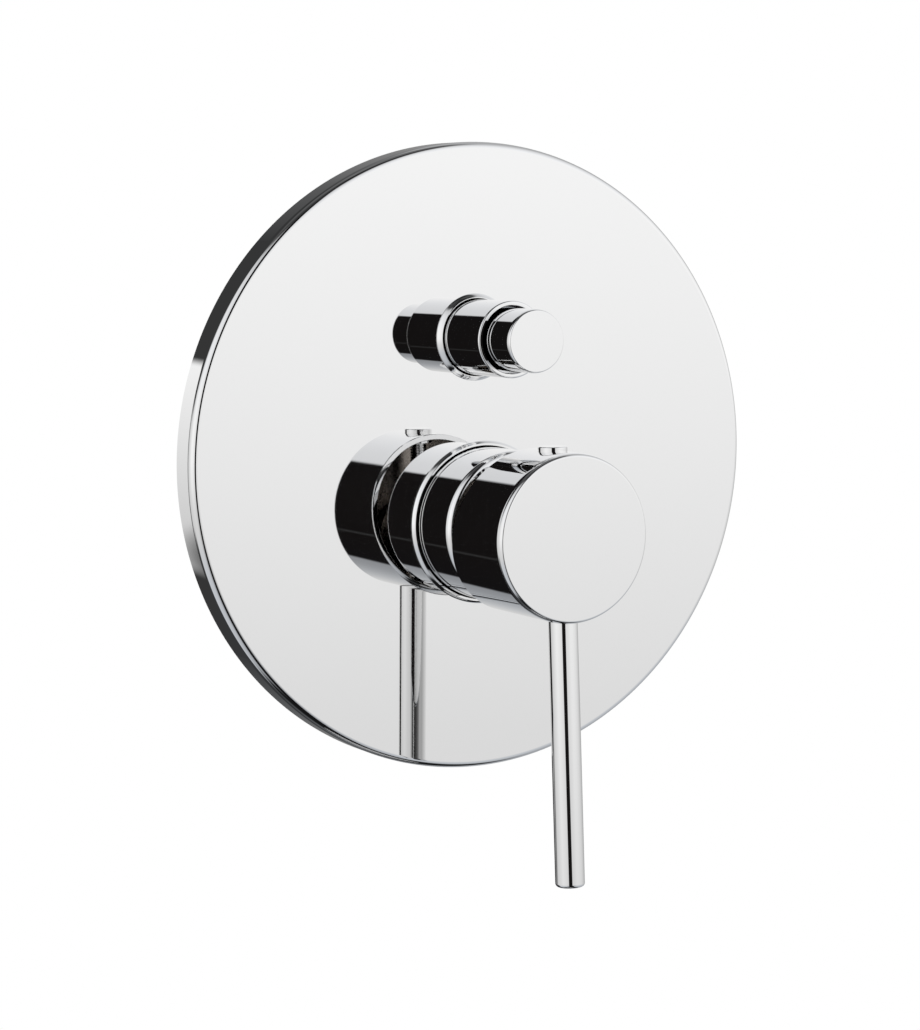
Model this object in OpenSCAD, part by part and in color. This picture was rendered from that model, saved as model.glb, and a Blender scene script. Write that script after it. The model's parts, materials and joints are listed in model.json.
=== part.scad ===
// Concealed single-lever shower mixer with a pull diverter.
// Every piece is drawn in a face frame: X to the right, Y up, Z out of the wall towards the user.
// The finished wall is Z = 0, depths inside the wall are negative, and the cartridge axis is
// X = Y = 0. on_wall() turns that frame so that the wall's outward normal is -Y and up is +Z, and
// sets the origin at the centre of the four fixing holes, on the plane that the body is fixed to.

/* [Plate] */
// Diameter of the round wall plate
plate_d = 175; // [165:1:190]
// Distance from the finished wall to the plate's front
plate_t = 10; // [9:0.5:12]
// Width of the plate's rounded front edge, across the front
plate_edge_w = 1.9; // [1.5:0.1:3]
// Depth of the plate's rounded front edge, along its rim
plate_edge_h = 2.4; // [1.5:0.1:3]
// Wall thickness of the pressed plate
plate_skin = 2.5; // [2:0.1:3]
// Height of the plate's centre above the cartridge axis
plate_rise = 18; // [14:0.5:22]

/* [Cartridge sleeve] */
// Outer diameter of the sleeve that covers the cartridge
sleeve_d = 42.5; // [42.4:0.1:42.8]
// Distance from the wall to the sleeve's flat front
sleeve_front = 27.9; // [26:0.1:27.9]
// Wall thickness of the sleeve tube
sleeve_skin = 1.2; // [1.2:0.05:1.3]

/* [Handle] */
// Outer diameter of the handle
handle_d = 45.6; // [44.6:0.1:47]
// Distance from the wall to the handle's rear edge, on its axis
handle_rear = 33.4; // [33.4:0.1:34.5]
// Distance from the wall to the handle's flat front
handle_front = 59.3; // [59:0.1:62]
// Width of the handle's rounded front edge, across the front
handle_edge_w = 1; // [0.8:0.1:2]
// Depth of the handle's rounded front edge, along its side
handle_edge_h = 2.2; // [1:0.1:2.5]
// Wall thickness of the handle's cup at its rim
handle_skin = 1.6; // [1.4:0.1:1.8]
// Angle of the cut rear edge, half of the whole lift
stem_lean = 12.3; // [11:0.1:12.3]
// Angle that the lever hangs off the plate's upright, as photographed
rest_turn = 2.3; // [0:0.1:3]

/* [Lever] */
// Diameter of the lever rod
rod_d = 8; // [7.5:0.1:8.5]
// Distance from the wall to the rod's axis, level with the cartridge axis
rod_out = 51.8; // [51.5:0.1:52.5]
// Depth of the rod's free end below the cartridge axis
rod_reach = 94.5; // [80:0.5:120]
// Angle by which the rod leans away from the wall
rod_lean = 2.2; // [0:0.1:2.5]
// Distance from the wall to the axis of the screw on top of the handle
screw_out = 48.1; // [47.5:0.1:48.3]
// Height of the screw's head above the handle's crest
screw_proud = 1.1; // [0.8:0.1:2]

/* [Diverter] */
// Height of the diverter's axis above the cartridge axis
diverter_rise = 51.8; // [51:0.1:53]
// Outer diameter of the diverter's sleeve
dsleeve_d = 21; // [20.6:0.1:21.6]
// Distance from the wall to the diverter sleeve's front
dsleeve_front = 30.9; // [29:0.1:32]
// Wall thickness of the diverter's sleeve round the button
dsleeve_skin = 0.8; // [0.8:0.1:1]
// Diameter of the pull button
button_d = 17.2; // [16.9:0.1:17.4]
// Distance from the wall to the button's flat front
button_front = 43.9; // [42:0.1:45]
// Travel of the button when it is pulled
button_pull = 7; // [6:0.5:7]

/* [Connections] */
// Depth of the four pipe connections behind the finished wall
port_depth = 38; // [38:0.5:39]
// Distance from the cartridge axis to each inlet's mouth
inlet_reach = 50; // [48:1:60]
// Distance from the cartridge axis down to the lower outlet's mouth
lower_reach = 48; // [46:1:60]
// Distance from the cartridge axis up to the upper outlet's mouth
upper_reach = 96; // [95:1:110]
// Minor diameter of the half-inch pipe threads
port_bore_d = 18.6; // [18.6:0.1:19]
// Distance between the fixing holes, side to side
fixing_w = 60; // [58:1:70]
// Distance between the fixing holes, up and down
fixing_h = 60; // [56:1:64]
// Diameter of the fixing holes
fixing_hole_d = 5.5; // [4.5:0.1:6]
// Depth of the plane that the body is fixed to, behind the finished wall
fixing_depth = 54; // [54:1:60]

/* [Hidden] */

$fn = 96;
// Number of straight steps in a rounded edge
arc_steps = 9;
// Play between a moving piece and its neighbour where nothing guides it
loose = 0.3;
// Radial play of a running fit
running = 0.05;
// Radial play of a piece that is pushed or screwed home
snug = 0.1;
// Gap between two faces that rest on each other
lap = 0.03;
// Overlap that keeps a cut clear of the face it opens
cut = 1;

chrome_c = [0.86, 0.87, 0.89];
brass_c = [0.78, 0.62, 0.32];
casting_c = [0.72, 0.58, 0.34];
rubber_c = [0.1, 0.1, 0.1];
white_c = [0.9, 0.9, 0.88];
grey_c = [0.45, 0.47, 0.5];
ceramic_c = [0.95, 0.93, 0.88];
steel_c = [0.7, 0.71, 0.73];

plate_r = plate_d / 2;
gasket_w = 5;
gasket_h = 4;
sleeve_r = sleeve_d / 2;
handle_r = handle_d / 2;
rod_r = rod_d / 2;
dsleeve_r = dsleeve_d / 2;
button_r = button_d / 2;
port_r = port_bore_d / 2;

// Collars and seals round the two sleeves
collar_h = 1.2;
collar_edge_r = 1;
collar_lip = 1.3;
collar_step = 0.5;
collar_gap = 0.3;
collar_depth = 6;
collar_low = plate_t - collar_depth;
seal_w = 4;
seal_h = 2.2;

// Cartridge: floor of its seat, and the stack that stands on it
seat_floor = -14;
base_flange_h = 4;
base_step_h = 2;
fixed_h = 4;
moving_h = 3.5;
fixed_low = seat_floor + base_flange_h + base_step_h;
moving_low = fixed_low + fixed_h + lap;
// Depth to which the carrier's flange reaches over the moving disc
carrier_grip = 1.5;
carrier_flange_h = 3;
carrier_low = moving_low + moving_h - carrier_grip;
block_start = 1.6;
block_h = 6;
block_low = carrier_low + block_start;
block_top = block_low + block_h;
rotor_rise = 8.3;
rotor_low = carrier_low + rotor_rise;
rotor_top = 20.5;
housing_low = fixed_low - base_step_h;
housing_step = 8.5;
housing_top = 24.5;
cartridge_r = 17.5;
housing_r = 15;
cavity_r = 15.2;
rotor_r = 12.9;
fixed_r = 14;
moving_r = 11.5;
carrier_r = 12.3;

// Ports of the cartridge and of the fixed disc: two inlets below, one mixed outlet above
port_x = 7;
inlet_y = -4.5;
outlet_y = 8;
port_hole_r = 3.2;
port_seal_r = 4.3;
port_seal_h = 1.15;

// Spindle: a square shank with a ball at its inner end, tilting on the pivot pin
pivot_out = 16;
shank = 8;
shank_len = 36;
ball_arm = 11;
ball_r = 3;
pin_r = 2;
ball_offset = ball_arm * sin(stem_lean);

// Handle, the seat of its rod and the seat of its screw
cup_floor = handle_front - 4;
boss_r = 11;
boss_start = 22;
rod_thread_r = 3;
rod_shoulder = 18;
rod_tip = 12.4;
screw_thread_r = 2.5;
screw_tip = -2.6;
screw_seat = handle_r - 3;

// Neck of the body, with the cartridge's nut in it and the sleeve over it
neck_r = sleeve_r - sleeve_skin - 0.45;
neck_top = 14.5;
nut_r = 18.3;
nut_floor = 7;
nut_lug_h = 3;
oring_at = 3.4;
oring_r = 0.65;
oring_mid_r = sleeve_r - sleeve_skin - oring_r;

// Diverter: depths along its axis and radii
chamber_r = 10;
chamber_low = -40;
chamber_end = -51;
bonnet_low = -13;
bonnet_face = -2;
bonnet_r = 11;
bonnet_hex_r = 15;
bonnet_hex_h = 3.5;
bonnet_tube_r = 8;
bonnet_bore_top = -7;
cage_low = -37;
cage_floor = -35;
cage_seat_low = -21;
cage_seat_top = -19;
cage_inner_r = 6.5;
seat_r = 4.5;
dspindle_r = 3;
dspindle_neck_r = 2.5;
washer_r = 6;
washer_h = 2.5;
rear_washer_top = cage_low - button_pull;
washer_nut_h = 2;
spring_r = 4.4;
spring_wire_r = 0.4;
spring_turns = 5;
clip_out = 1.2;
clip_h = 0.9;
clip_r = 5.4;
cap_r = 6;
cap_low = 14.4;
cap_top = 16.4;
button_rear = cap_top + 3;
button_socket = 36;

// Small rubber rings of the diverter
small_ring_r = 0.62;
groove_half = 0.8;
spindle_ring_out = -4;
bonnet_ring_out = -10.4;
cage_rings_out = [-20, -34];

// Passages in the body casting
thread_len = 15;
channel_r = 4.5;
inlet_channel_r = 6;
riser_r = 3.7;
riser_x = port_x + 1;
front_channel_r = 3.2;
rear_channel_out = -42;
mixed_channel_out = -27;
front_channel_out = -15.8;
front_channel_top = 70.5;

// Outside of the body casting
port_wall = 4;
port_band = 1.2;
port_band_h = 7;
seat_wall_r = 22.5;
seat_back_r = 18.5;
trunk_r = 8.8;
trunk_web = 15;
cover_r = 8.4;
cover_wall = 4.6;
lug_r = 7.5;
lug_h = 5;
strap_w = 11;
pad_r = 7;

// Points of an oval of half axes rx and ry, between two angles
function arc(cx, cy, rx, ry, from, to) =
    [for (i = [0 : arc_steps]) let (a = from + (to - from) * i / arc_steps)
        [cx + rx * cos(a), cy + ry * sin(a)]];

// Radius of a collar's spigot, and of the hole that it sits in
function spigot_r(inner_r) = inner_r + collar_lip - collar_step;

module on_wall() {
    translate([0, -fixing_depth, 0]) rotate([90, 0, 0]) children();
}

// Places a piece at the cartridge, turned with the lever as photographed
module turned() {
    on_wall() rotate([0, 0, -rest_turn]) children();
}

// Places a piece along the spindle: Z runs outwards along the shank from the pivot
module along_stem() {
    translate([0, 0, pivot_out]) rotate([stem_lean, 0, 0]) children();
}

module at_diverter() {
    on_wall() translate([0, diverter_rise, 0]) children();
}

module disc(r, low, high) {
    translate([0, 0, low]) cylinder(r = r, h = high - low);
}

module tube(r_out, r_in, low, high) {
    difference() {
        disc(r_out, low, high);
        disc(r_in, low - cut, high + cut);
    }
}

// Round-section ring with its centre line at radius r, at depth z
module oring(r, section_r, z) {
    translate([0, 0, z]) rotate_extrude() translate([r, 0]) circle(r = section_r, $fn = 24);
}

// Solid of revolution with a rounded front edge
module rounded_disc(r, low, high, edge_w, edge_h) {
    rotate_extrude() polygon(concat(
        [[0, low], [r, low]],
        arc(r - edge_w, high - edge_h, edge_w, edge_h, 0, 90),
        [[0, high]]));
}

// Bar along a direction in the XY plane, such as a channel across the body
module bar(r, from, to) {
    v = to - from;
    len = norm(v);
    translate(from) rotate([0, acos(v[2] / len), atan2(v[1], v[0])]) cylinder(r = r, h = len);
}

// Pressed plate, open behind, with a hole for each collar's spigot
module wall_plate() {
    color(chrome_c) on_wall() difference() {
        translate([0, plate_rise, 0]) difference() {
            rounded_disc(plate_r, 0, plate_t, plate_edge_w, plate_edge_h);
            disc(plate_r - plate_skin, -cut, plate_t - plate_skin);
        }
        disc(spigot_r(sleeve_r + collar_gap), -cut, plate_t + cut);
        translate([0, diverter_rise, 0])
            disc(spigot_r(dsleeve_r + collar_gap), -cut, plate_t + cut);
    }
}

module plate_gasket() {
    r = plate_r - plate_skin;
    color(rubber_c) on_wall() translate([0, plate_rise, 0]) tube(r, r - gasket_w, 0, gasket_h);
}

// Guide ring with a rounded flange on the plate's front and a spigot through its hole
module collar(inner_r) {
    flange_r = inner_r + collar_lip;
    top = plate_t + collar_h;
    rotate_extrude() polygon(concat(
        [[inner_r, collar_low], [spigot_r(inner_r), collar_low],
            [spigot_r(inner_r), plate_t], [flange_r, plate_t]],
        arc(flange_r - collar_edge_r, top - collar_edge_r, collar_edge_r, collar_edge_r, 0, 90),
        [[inner_r, top]]));
}

module sleeve_collar() {
    color(chrome_c) on_wall() collar(sleeve_r + collar_gap);
}

module diverter_collar() {
    color(chrome_c) at_diverter() collar(dsleeve_r + collar_gap);
}

// Flat rubber ring behind the plate, which grips the sleeve and keeps water out of the wall
module lip_seal(inner_r) {
    color(rubber_c) tube(inner_r + seal_w, inner_r, collar_low - seal_h, collar_low);
}

module sleeve_seal() {
    on_wall() lip_seal(sleeve_r);
}

module diverter_seal() {
    at_diverter() lip_seal(dsleeve_r);
}

module cartridge_sleeve() {
    rear = 1;
    edge_r = 0.4;
    front_t = 1.6;
    opening_r = 15.8;
    color(chrome_c) on_wall() difference() {
        rounded_disc(sleeve_r, rear, sleeve_front, edge_r, edge_r);
        disc(sleeve_r - sleeve_skin, rear - cut, sleeve_front - front_t);
        disc(opening_r, rear, sleeve_front + cut);
    }
}

module sleeve_oring() {
    color(rubber_c) on_wall() oring(oring_mid_r, oring_r, oring_at);
}

// Pipe socket seen from outside: a round barrel with a thicker band at its mouth
module port_solid(from, to) {
    v = (to - from) / norm(to - from);
    bar(port_r + port_wall, from, to);
    bar(port_r + port_wall + port_band, to - v * port_band_h, to);
}

// Four corner lugs joined by straps in the plane that the body is fixed to, with a pad on the
// upper and lower strap that carries the casting in front of it
module fixing_frame() {
    top = lug_h - fixing_depth;
    for (y = [-1, 1]) {
        translate([0, y * fixing_h / 2, 0]) disc(pad_r, -fixing_depth, rear_channel_out);
        for (x = [-1, 1])
            translate([x * fixing_w / 2, y * fixing_h / 2, 0]) disc(lug_r, -fixing_depth, top);
        translate([-fixing_w / 2, y * fixing_h / 2 - strap_w / 2, -fixing_depth])
            cube([fixing_w, strap_w, lug_h]);
    }
    for (x = [-1, 1])
        translate([x * fixing_w / 2 - strap_w / 2, -fixing_h / 2, -fixing_depth])
            cube([strap_w, fixing_h, lug_h]);
}

module body_outside() {
    inlet_from = 16;
    outlet_from = 16;
    upper_from = 60;
    trunk_low = -10;
    seat_back = -50;
    seat_wall_low = -23;
    boss_wall = 5;
    disc(neck_r, seat_wall_low, neck_top);
    disc(seat_wall_r, seat_wall_low, -3);
    disc(seat_back_r, seat_back, seat_wall_low + cut);
    translate([0, diverter_rise, 0]) {
        disc(chamber_r + boss_wall, chamber_low - boss_wall, bonnet_face);
        disc(chamber_r + 2, -fixing_depth, chamber_low);
    }
    // Trunk round the passages between the seat, the diverter and the outlets
    bar(trunk_r, [0, outlet_from - lower_reach, rear_channel_out],
        [0, diverter_rise, rear_channel_out]);
    bar(trunk_r, [0, trunk_low, mixed_channel_out], [0, diverter_rise, mixed_channel_out]);
    translate([-trunk_web / 2, trunk_low, rear_channel_out])
        cube([trunk_web, diverter_rise - trunk_low, mixed_channel_out - rear_channel_out]);
    for (side = [-1, 1])
        port_solid([side * inlet_from, 0, -port_depth], [side * inlet_reach, 0, -port_depth]);
    port_solid([0, -outlet_from, -port_depth], [0, -lower_reach, -port_depth]);
    port_solid([0, upper_from, -port_depth], [0, upper_reach, -port_depth]);
    // Cover of the passage from the front of the diverter to the upper outlet
    translate([0, front_channel_top, 0])
        disc(cover_r, -port_depth, front_channel_out + front_channel_r + cover_wall);
    fixing_frame();
}

module body_inside() {
    low_end = thread_len - lower_reach;
    high_end = upper_reach - thread_len;
    inlet_end = inlet_reach - thread_len;
    // Cartridge seat and the thread of its nut
    disc(cartridge_r + snug, seat_floor, neck_top + cut);
    disc(nut_r + running, nut_floor, neck_top + cut);
    // Groove of the sleeve's ring
    tube(neck_r + cut, oring_mid_r - oring_r, oring_at - groove_half, oring_at + groove_half);
    // Inlets: pipe socket, cross channel and riser to the seat
    for (side = [-1, 1]) {
        bar(port_r, [side * inlet_end, 0, -port_depth], [side * (inlet_reach + cut), 0, -port_depth]);
        bar(inlet_channel_r, [side * riser_x, 0, -port_depth],
            [side * (inlet_end + cut), 0, -port_depth]);
        bar(riser_r, [side * riser_x, inlet_y, inlet_channel_r - cut - port_depth],
            [side * riser_x, inlet_y, seat_floor + cut]);
    }
    // Mixed water: from the seat back, then up to the middle of the diverter
    bar(channel_r - 0.5, [0, outlet_y, mixed_channel_out], [0, outlet_y, seat_floor + cut]);
    bar(channel_r, [0, outlet_y - 2, mixed_channel_out], [0, diverter_rise, mixed_channel_out]);
    // Diverter chamber
    translate([0, diverter_rise, 0]) {
        disc(bonnet_r + running, bonnet_low, bonnet_face + cut);
        disc(chamber_r, chamber_low, bonnet_low + cut);
        disc(chamber_r - 2, chamber_end, chamber_low + cut);
    }
    // Rear chamber down to the lower outlet
    bar(channel_r, [0, diverter_rise, rear_channel_out], [0, low_end - cut, rear_channel_out]);
    bar(port_r, [0, low_end, -port_depth], [0, -lower_reach - cut, -port_depth]);
    // Front of the chamber up to the upper outlet
    bar(front_channel_r, [0, diverter_rise, front_channel_out],
        [0, front_channel_top, front_channel_out]);
    bar(channel_r, [0, front_channel_top, front_channel_out + front_channel_r + cut],
        [0, front_channel_top, -port_depth]);
    bar(channel_r, [0, front_channel_top - cut, -port_depth], [0, high_end + cut, -port_depth]);
    bar(port_r, [0, high_end, -port_depth], [0, upper_reach + cut, -port_depth]);
    for (x = [-1, 1], y = [-1, 1])
        translate([x * fixing_w / 2, y * fixing_h / 2, 0])
            disc(fixing_hole_d / 2, -fixing_depth - cut, lug_h - fixing_depth + cut);
}

module mixer_body() {
    color(casting_c) on_wall() difference() {
        body_outside();
        body_inside();
    }
}

// Threaded ring that holds the cartridge down, with six slots for its key
module cartridge_nut() {
    slot_w = 4;
    slot_depth = 2;
    top = neck_top + nut_lug_h;
    color(brass_c) on_wall() difference() {
        tube(nut_r, housing_r + 0.15, housing_step + lap, top);
        for (a = [0 : 60 : 300])
            rotate([0, 0, a]) translate([nut_r - slot_depth, -slot_w / 2, neck_top])
                cube([slot_depth + cut, slot_w, nut_lug_h + cut]);
    }
}

module cartridge_housing() {
    opening_r = 9.6;
    shelf = rotor_low - loose;
    color(white_c) on_wall() difference() {
        union() {
            disc(cartridge_r, housing_low, housing_step);
            disc(housing_r, housing_step - cut, housing_top);
        }
        disc(cavity_r, housing_low - cut, shelf);
        disc(rotor_r + running, shelf - cut, rotor_top + loose);
        disc(opening_r, rotor_top, housing_top + cut);
    }
}

module at_ports() {
    for (x = [-1, 1]) translate([x * port_x, inlet_y, 0]) children();
    translate([0, outlet_y, 0]) children();
}

module cartridge_base() {
    flange_top = housing_low - lap;
    pocket_h = port_seal_h + 0.05;
    color(grey_c) on_wall() difference() {
        union() {
            disc(cartridge_r, seat_floor + lap, flange_top);
            disc(cavity_r - snug, flange_top - lap, fixed_low - lap);
        }
        at_ports() {
            disc(port_hole_r, seat_floor - cut, fixed_low + cut);
            disc(port_seal_r + snug, seat_floor - cut, seat_floor + pocket_h);
            disc(port_seal_r + snug, fixed_low - pocket_h, fixed_low + cut);
        }
    }
}

// Three rubber rings, one round each port
module port_seals(low) {
    color(rubber_c) on_wall() at_ports() tube(port_seal_r, port_hole_r + snug, low, low + port_seal_h);
}

module base_seals() {
    port_seals(seat_floor);
}

module disc_seals() {
    port_seals(fixed_low - port_seal_h);
}

module fixed_disc() {
    color(ceramic_c) on_wall() difference() {
        disc(fixed_r, fixed_low, fixed_low + fixed_h);
        at_ports() disc(port_hole_r, fixed_low - cut, fixed_low + fixed_h + cut);
    }
}

// Disc with a pocket below that joins the ports it lies over
module moving_disc() {
    pocket_r = 5.5;
    pocket_y = 2;
    pocket_h = 1.8;
    color(ceramic_c) turned() translate([0, ball_offset, 0]) difference() {
        disc(moving_r, moving_low, moving_low + moving_h);
        translate([0, pocket_y, 0]) disc(pocket_r, moving_low - cut, moving_low + pocket_h);
    }
}

// Driver clipped over the moving disc: the rotor's rails guide its block, the ball moves it
module disc_carrier() {
    block_w = 17.4;
    block_d = 16;
    socket_start = 2.2;
    socket_low = carrier_low + socket_start;
    color(grey_c) turned() translate([0, ball_offset, 0]) difference() {
        union() {
            disc(carrier_r, carrier_low, carrier_low + carrier_flange_h);
            translate([-block_w / 2, -block_d / 2, block_low])
                cube([block_w, block_d, block_top - block_low]);
        }
        disc(moving_r + lap, carrier_low - cut, carrier_low + carrier_grip);
        disc(ball_r + running, socket_low, block_top + cut);
    }
}

module spindle_rotor() {
    slot_w = shank + 2 * loose;
    slot_d = 13.6;
    rail_x = 9;
    rail_w = 6;
    rail_h = 3;
    rail_d = 14;
    color(white_c) turned() difference() {
        union() {
            disc(rotor_r, rotor_low, rotor_top);
            intersection() {
                disc(rotor_r, rotor_low - rail_h, rotor_low + cut);
                for (side = [-1, 1])
                    translate([side * (rail_x + rail_w / 2) - rail_w / 2, -rail_d / 2, rotor_low - rail_h])
                        cube([rail_w, rail_d, rail_h + cut]);
            }
        }
        translate([-slot_w / 2, -slot_d / 2, rotor_low - cut])
            cube([slot_w, slot_d, rotor_top - rotor_low + 2 * cut]);
        cross_pin(pin_r, rotor_r + cut);
    }
}

// Round bar across the lever's plane, through the pivot
module cross_pin(r, half_len) {
    translate([-half_len, 0, pivot_out]) rotate([0, 90, 0]) cylinder(r = r, h = 2 * half_len);
}

module pivot_pin() {
    color(steel_c) turned() cross_pin(pin_r, rotor_r - 0.2);
}

module lever_spindle() {
    arm_r = 2.6;
    hub_low = -4;
    flat_len = 7;
    flat_depth = 0.5;
    color(steel_c) turned() difference() {
        along_stem() union() {
            translate([-shank / 2, -shank / 2, hub_low]) cube([shank, shank, shank_len - hub_low]);
            disc(arm_r, -ball_arm, hub_low + cut);
            translate([0, 0, -ball_arm]) sphere(r = ball_r);
        }
        cross_pin(pin_r + running, shank);
        // Flat seat for the point of the handle's screw
        along_stem() translate([-shank, shank / 2 - flat_depth, shank_len - flat_len])
            cube([2 * shank, cut, flat_len + cut]);
    }
}

// Half space behind the oblique rear edge of the handle, which is square to the spindle
module behind_rear() {
    reach = 60;
    translate([0, 0, handle_rear]) rotate([stem_lean, 0, 0])
        translate([-reach, -reach, -reach]) cube([2 * reach, 2 * reach, reach]);
}

// Places a piece along the lever rod: Z runs down the rod from the cartridge axis
module along_rod() {
    translate([0, 0, rod_out]) rotate([90 - rod_lean, 0, 0]) children();
}

// Places a piece along the handle's screw: Z runs up from the cartridge axis
module along_screw() {
    translate([0, 0, screw_out]) rotate([-90, 0, 0]) children();
}

// Solid rod with a thinner threaded end and a rounded far edge
module stepped_rod(thread_r, tip, shoulder, r, top, edge_r) {
    rotate_extrude($fn = 64) polygon(concat(
        [[0, tip], [thread_r, tip], [thread_r, shoulder], [r, shoulder]],
        arc(r - edge_r, top - edge_r, edge_r, edge_r, 0, 90),
        [[0, top]]));
}

module handle() {
    low = handle_rear - handle_r * tan(stem_lean) - cut;
    cup_r = handle_r - handle_skin;
    socket = shank + 0.1;
    socket_top = shank_len + 0.5;
    rod_drill = 11;
    screw_drill = -4;
    color(chrome_c) turned() difference() {
        union() {
            difference() {
                rounded_disc(handle_r, low, handle_front, handle_edge_w, handle_edge_h);
                disc(cup_r, low - cut, cup_floor);
            }
            // Boss that takes the spindle, cut off inside the front wall
            intersection() {
                along_stem() disc(boss_r, boss_start, handle_front);
                disc(handle_r - 1, low, cup_floor + cut);
            }
        }
        behind_rear();
        along_stem() translate([-socket / 2, -socket / 2, boss_start - cut])
            cube([socket, socket, socket_top - boss_start + cut]);
        along_rod() {
            disc(rod_r, rod_shoulder, handle_r + 5);
            disc(rod_thread_r, rod_drill, rod_shoulder + cut);
        }
        along_screw() {
            disc(rod_r, screw_seat, handle_r + 5);
            disc(screw_thread_r, screw_drill, screw_seat + cut);
        }
    }
}

module lever_rod() {
    end_r = 1;
    color(chrome_c) turned() along_rod()
        stepped_rod(rod_thread_r, rod_tip, rod_shoulder, rod_r, rod_reach, end_r);
}

module handle_screw() {
    edge_r = 0.35;
    color(chrome_c) turned() along_screw()
        stepped_rod(screw_thread_r, screw_tip, screw_seat, rod_r, handle_r + screw_proud, edge_r);
}

module diverter_sleeve() {
    edge_r = 0.5;
    rear = 5;
    web_top = cap_top + 0.2;
    color(chrome_c) at_diverter() difference() {
        rounded_disc(dsleeve_r, rear, dsleeve_front, edge_r, edge_r);
        disc(bonnet_tube_r + running, rear - cut, web_top);
        disc(dsleeve_r - dsleeve_skin, web_top - lap, dsleeve_front + cut);
    }
}

module diverter_button() {
    edge_w = 0.5;
    edge_h = 1.5;
    counterbore = 2;
    color(chrome_c) at_diverter() difference() {
        rounded_disc(button_r, button_rear, button_front, edge_w, edge_h);
        disc(dspindle_neck_r, button_rear - cut, button_socket);
        disc(dspindle_r + running, button_rear - cut, button_rear + counterbore);
    }
}

// Rod with a necked end for the button, a flange for the front washer and a neck for the rear one
module diverter_spindle() {
    flange_r = dspindle_r + 2;
    flange_low = cage_seat_top + washer_h + snug;
    flange_h = 0.8;
    shoulder_out = button_rear + 2;
    end_out = rear_washer_top - washer_h - washer_nut_h;
    color(brass_c) at_diverter() difference() {
        union() {
            disc(dspindle_r, rear_washer_top, shoulder_out);
            disc(dspindle_neck_r, shoulder_out - cut, button_socket - 0.2);
            disc(flange_r, flange_low, flange_low + flange_h);
            disc(dspindle_neck_r, end_out, rear_washer_top + cut);
        }
        tube(dspindle_r + cut, dspindle_neck_r, clip_out, clip_out + clip_h);
    }
}

module spindle_oring() {
    color(rubber_c) at_diverter() oring(dspindle_r + 0.65, small_ring_r, spindle_ring_out);
}

// Screwed cover of the diverter, with a tube in front that carries the sleeve
module diverter_bonnet() {
    ring_groove_r = dspindle_r + 1.3;
    ring_groove_half = 0.7;
    spring_room_r = 6;
    spring_room_low = -1;
    color(brass_c) at_diverter() difference() {
        union() {
            disc(bonnet_r, bonnet_low, bonnet_face + cut);
            translate([0, 0, bonnet_face]) cylinder(r = bonnet_hex_r, h = bonnet_hex_h, $fn = 6);
            disc(bonnet_tube_r, bonnet_face + cut, cap_top);
        }
        disc(cage_inner_r + snug, bonnet_low - cut, bonnet_bore_top);
        disc(dspindle_r + running, bonnet_bore_top - cut, spring_room_low + cut);
        disc(ring_groove_r, spindle_ring_out - ring_groove_half, spindle_ring_out + ring_groove_half);
        disc(spring_room_r, spring_room_low, cap_top + cut);
        tube(bonnet_r + cut, bonnet_r - 1.3, bonnet_ring_out - groove_half, bonnet_ring_out + groove_half);
    }
}

module bonnet_oring() {
    color(rubber_c) at_diverter() oring(bonnet_r - 0.65, small_ring_r, bonnet_ring_out);
}

// Insert with the two valve seats, open at the sides to the mixed water and the upper outlet
module diverter_cage() {
    cage_r = chamber_r - snug;
    mixed_window_r = 3;
    front_window_r = 2;
    color(brass_c) at_diverter() difference() {
        disc(cage_r, cage_low, bonnet_low - lap);
        disc(cage_inner_r, cage_floor, cage_seat_low);
        disc(cage_inner_r, cage_seat_top, bonnet_low + cut);
        disc(seat_r, cage_low - cut, cage_seat_top + cut);
        for (a = [45 : 90 : 315]) rotate([0, 0, a]) {
            bar(mixed_window_r, [0, 0, mixed_channel_out], [cage_r + cut, 0, mixed_channel_out]);
            bar(front_window_r, [0, 0, front_channel_out], [cage_r + cut, 0, front_channel_out]);
        }
        for (z = cage_rings_out) tube(cage_r + cut, cage_r - 1.3, z - groove_half, z + groove_half);
    }
}

module cage_orings() {
    color(rubber_c) at_diverter() for (z = cage_rings_out)
        oring(chamber_r - 0.72, small_ring_r, z);
}

module front_washer() {
    color(rubber_c) at_diverter()
        tube(washer_r, dspindle_r, cage_seat_top, cage_seat_top + washer_h);
}

module rear_washer() {
    color(rubber_c) at_diverter()
        tube(washer_r, dspindle_neck_r, rear_washer_top - washer_h, rear_washer_top);
}

module washer_nut() {
    corner_r = 4.6;
    top = rear_washer_top - washer_h;
    color(brass_c) at_diverter() difference() {
        translate([0, 0, top - washer_nut_h]) cylinder(r = corner_r, h = washer_nut_h, $fn = 6);
        disc(dspindle_neck_r, top - washer_nut_h - cut, top + cut);
    }
}

// Coil round the diverter spindle: a round wire swept along a helix of spring_turns turns
module return_spring() {
    low = clip_out + clip_h + spring_wire_r + lap;
    high = cap_low - spring_wire_r - lap;
    per_turn = 20;
    sides = 6;
    n = spring_turns * per_turn;
    rings = [for (i = [0 : n], j = [0 : sides - 1])
        let (a = 360 * i / per_turn, b = 360 * j / sides, r = spring_r + spring_wire_r * cos(b))
            [r * cos(a), r * sin(a), low + (high - low) * i / n + spring_wire_r * sin(b)]];
    skin = [for (i = [0 : n - 1], j = [0 : sides - 1])
        let (a = i * sides, k = (j + 1) % sides) [a + k, a + sides + k, a + sides + j, a + j]];
    ends = [[for (j = [sides - 1 : -1 : 0]) j], [for (j = [0 : sides - 1]) n * sides + j]];
    color(steel_c) at_diverter() polyhedron(points = rings, faces = concat(skin, ends));
}

module spring_cap() {
    color(brass_c) at_diverter() tube(cap_r, dspindle_r + loose, cap_low, cap_top - snug);
}

module spring_clip() {
    color(steel_c) at_diverter() tube(clip_r, dspindle_neck_r, clip_out, clip_out + clip_h);
}

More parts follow.
